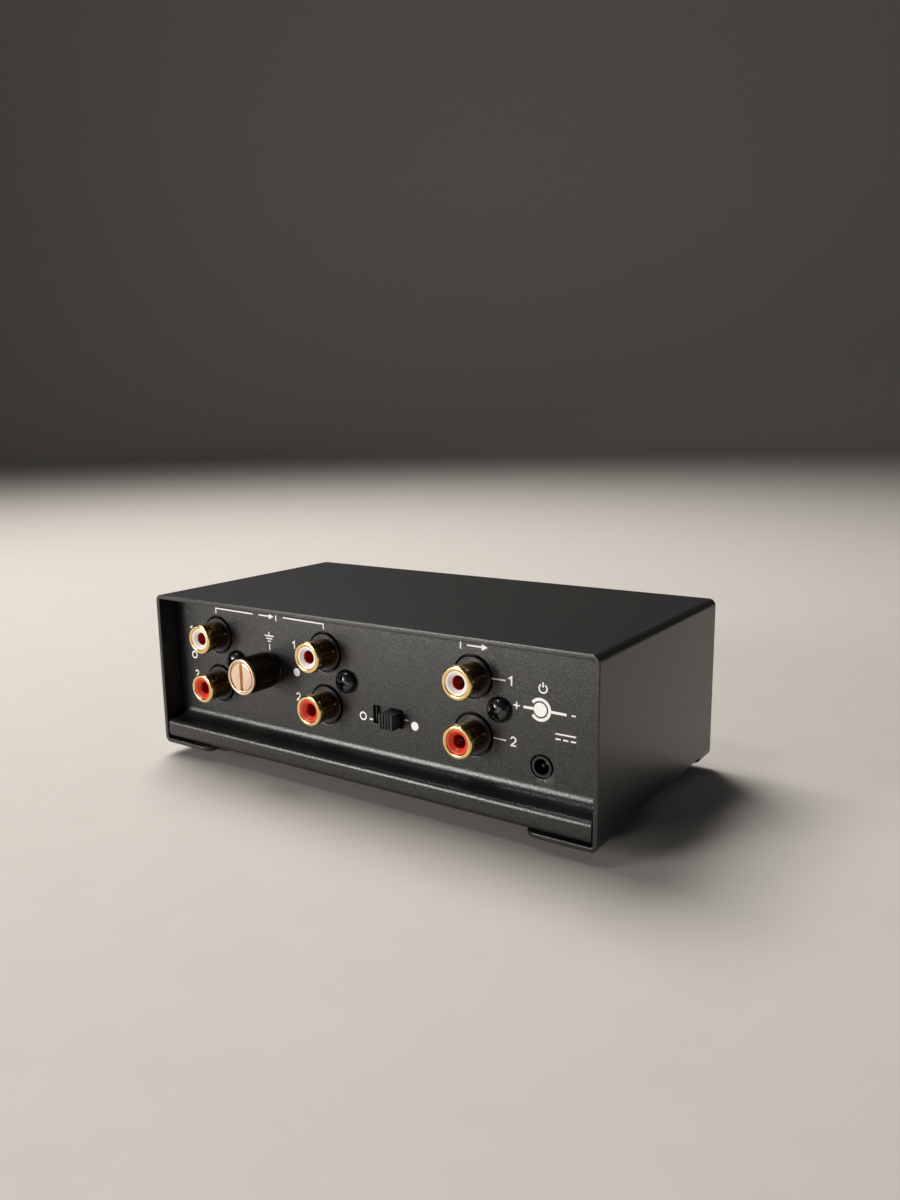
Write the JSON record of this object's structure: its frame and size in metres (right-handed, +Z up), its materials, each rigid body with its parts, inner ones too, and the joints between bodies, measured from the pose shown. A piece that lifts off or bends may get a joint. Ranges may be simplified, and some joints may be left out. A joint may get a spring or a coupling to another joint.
{
  "type": "phono preamp",
  "caption": "Compact phono preamp: a bent sheet-steel case with gilt phono jacks, a ground thumbscrew, a slide switch and a power inlet in a recessed panel.",
  "frame": {"origin": "middle of the whole outline, the thumbscrew included, on the plane the feet stand on", "axes": "+X to the right along the connector panel as one faces it, +Y from the connector panel to the far wall, +Z up"},
  "size_m": [0.139, 0.0768, 0.0474],
  "materials": {
    "case_paint": "fine textured charcoal powder coat",
    "black_screw": "glossy black finish",
    "bright_steel": "plated, bright",
    "foot_rubber": "matt",
    "board_green": "solder mask, satin",
    "black_moulding": "satin",
    "gilt": "gold flash, polished",
    "gilt_contact": "gold flash",
    "white_insulator": "satin",
    "red_insulator": "satin",
    "dark_red_guide": "satin",
    "thumb_metal": "nickel-bronze plating, turned end, knurled side",
    "nut_brass": "plated",
    "brown_board": "laminate",
    "lamp_lens": "clear lens",
    "chip_black": "moulded",
    "capacitor_sleeve": "shrink sleeve",
    "film_red": "dipped",
    "resistor_tan": "lacquered"
  },
  "bodies": {
    "case": {"top_cover": "case_paint", "chassis": "case_paint", "cover_screws": "black_screw", "cover_nuts": "bright_steel", "foot_connector_left": "foot_rubber", "foot_connector_right": "foot_rubber", "foot_front_left": "foot_rubber", "foot_front_right": "foot_rubber", "circuit_board": "board_green", "board_spacers": "bright_steel", "board_screws": "bright_steel", "jack_body_left": "black_moulding", "jack_body_middle": "black_moulding", "jack_body_right": "black_moulding", "shell_left_upper": "gilt", "shell_left_lower": "gilt", "shell_middle_upper": "gilt", "shell_middle_lower": "gilt", "shell_right_upper": "gilt", "shell_right_lower": "gilt", "insulator_left_upper": "white_insulator", "insulator_left_lower": "red_insulator", "insulator_middle_upper": "white_insulator", "insulator_middle_lower": "red_insulator", "insulator_right_upper": "white_insulator", "insulator_right_lower": "red_insulator", "contact_left_upper": "gilt_contact", "contact_left_lower": "gilt_contact", "contact_middle_upper": "gilt_contact", "contact_middle_lower": "gilt_contact", "contact_right_upper": "gilt_contact", "contact_right_lower": "gilt_contact", "pin_guides": "dark_red_guide", "jack_ground_pins": "bright_steel", "panel_screws": "black_screw", "ground_nut": "nut_brass", "ground_lug": "bright_steel", "switch_can": "bright_steel", "switch_base": "brown_board", "switch_pins": "bright_steel", "inlet_socket": "black_moulding", "inlet_centre_pin": "bright_steel", "inlet_spring": "bright_steel", "power_lamp": "lamp_lens", "lamp_holder": "black_moulding", "amplifier_chips": "chip_black", "electrolytic_capacitors": "capacitor_sleeve", "film_capacitors": "film_red", "resistors": "resistor_tan", "voltage_regulator": "chip_black"},
    "slider": {"switch_slider": "black_moulding"},
    "washer": {"ground_washer": "black_screw"},
    "thumbscrew": {"ground_thumbscrew": "thumb_metal"}
  },
  "joints": [
    {"name": "switch_slide", "type": "slide", "parent": "case", "child": "slider", "axis": [1, 0, 0], "range_m": [-0.0043, 0]},
    {"name": "washer_slide", "type": "slide", "parent": "case", "child": "washer", "axis": [0, -1, 0], "range_m": [0, 0.0042]},
    {"name": "thumbscrew_turn", "type": "hinge", "parent": "washer", "child": "thumbscrew", "pos_m": [-0.0314, -0.0275, 0.02945], "axis": [0, -1, 0], "range_deg": [0, 2160]}
  ],
  "couplings": [
    {"joint": "thumbscrew_turn", "follows": "washer_slide", "rad_per_m": 8976}
  ]
}
